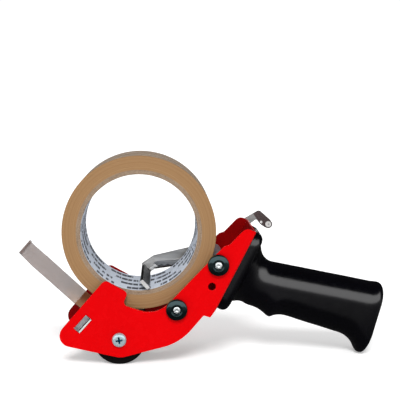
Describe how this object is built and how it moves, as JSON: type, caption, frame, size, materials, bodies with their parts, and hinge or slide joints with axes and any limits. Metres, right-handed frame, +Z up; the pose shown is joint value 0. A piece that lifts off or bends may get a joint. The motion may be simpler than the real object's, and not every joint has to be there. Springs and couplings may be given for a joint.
{
  "type": "packing tape dispenser",
  "caption": "Hand-held packing tape dispenser: folded red steel frame, wipe-down roller, support rollers, spring brake arm, toothed cutter, black pistol grip and a brown tape roll.",
  "frame": {"origin": "bottom centre of the bounding box, on the ground that the front roller and the handle's toe stand on", "axes": "+Z up, +X from the nose to the handle, -Y the side without the brake lever"},
  "size_m": [0.244, 0.0746, 0.1377],
  "materials": {
    "red_paint": "gloss",
    "zinc_steel": "zinc plated",
    "blade_steel": "ground",
    "screw_zinc": "blue zinc plated",
    "arm_steel": "nickel plated",
    "spring_steel": "drawn wire",
    "roller_rubber": "matt",
    "roller_tube": "drawn",
    "nylon": "satin",
    "cap_plastic": "gloss",
    "sleeve_plastic": "satin",
    "handle_plastic": "satin",
    "core_board": "plain",
    "brown_tape": "wound film",
    "tape_film": "glossy film"
  },
  "bodies": {
    "frame": {"frame_channel": "red_paint", "tape_guide_bar": "zinc_steel", "cutter_blade": "blade_steel", "blade_rivets": "zinc_steel", "front_axle": "zinc_steel", "front_axle_screws": "screw_zinc", "front_axle_spacers": "nylon", "lower_axle": "zinc_steel", "lower_axle_caps": "cap_plastic", "upper_axle": "zinc_steel", "upper_axle_caps": "cap_plastic", "arm_washer": "zinc_steel", "arm_spring": "spring_steel", "handle_grip": "handle_plastic", "handle_screws": "screw_zinc", "handle_washers": "zinc_steel", "tape_leader": "tape_film"},
    "front_roller": {"front_roller_tyre": "roller_rubber", "front_roller_hub": "roller_tube", "front_roller_bushes": "nylon"},
    "lower_roller": {"lower_roller_sleeve": "sleeve_plastic"},
    "upper_roller": {"upper_roller_sleeve": "sleeve_plastic"},
    "tape_roll": {"tape_core": "core_board", "tape_winding": "brown_tape"},
    "brake_arm": {"brake_arm": "arm_steel", "thumb_pin": "zinc_steel"}
  },
  "joints": [
    {"name": "front_roller_spin", "type": "hinge", "parent": "frame", "child": "front_roller", "pos_m": [-0.05733, -0.004, 0.0176], "axis": [0, 1, 0], "continuous": true},
    {"name": "lower_roller_spin", "type": "hinge", "parent": "frame", "child": "lower_roller", "pos_m": [-0.01978, -0.004, 0.03745], "axis": [0, 1, 0], "continuous": true},
    {"name": "upper_roller_spin", "type": "hinge", "parent": "frame", "child": "upper_roller", "pos_m": [0.00747, -0.004, 0.06665], "axis": [0, 1, 0], "continuous": true},
    {"name": "tape_roll_spin", "type": "hinge", "parent": "frame", "child": "tape_roll", "pos_m": [-0.04403, -0.004, 0.08745], "axis": [0, 1, 0], "continuous": true},
    {"name": "brake_arm_swing", "type": "hinge", "parent": "frame", "child": "brake_arm", "pos_m": [0.00747, 0.0271, 0.06665], "axis": [0, 1, 0], "range_deg": [0, 40], "stiffness_Nm_per_rad": 0.2, "springref_deg": -57.3, "deforming": ["arm_spring"]}
  ]
}
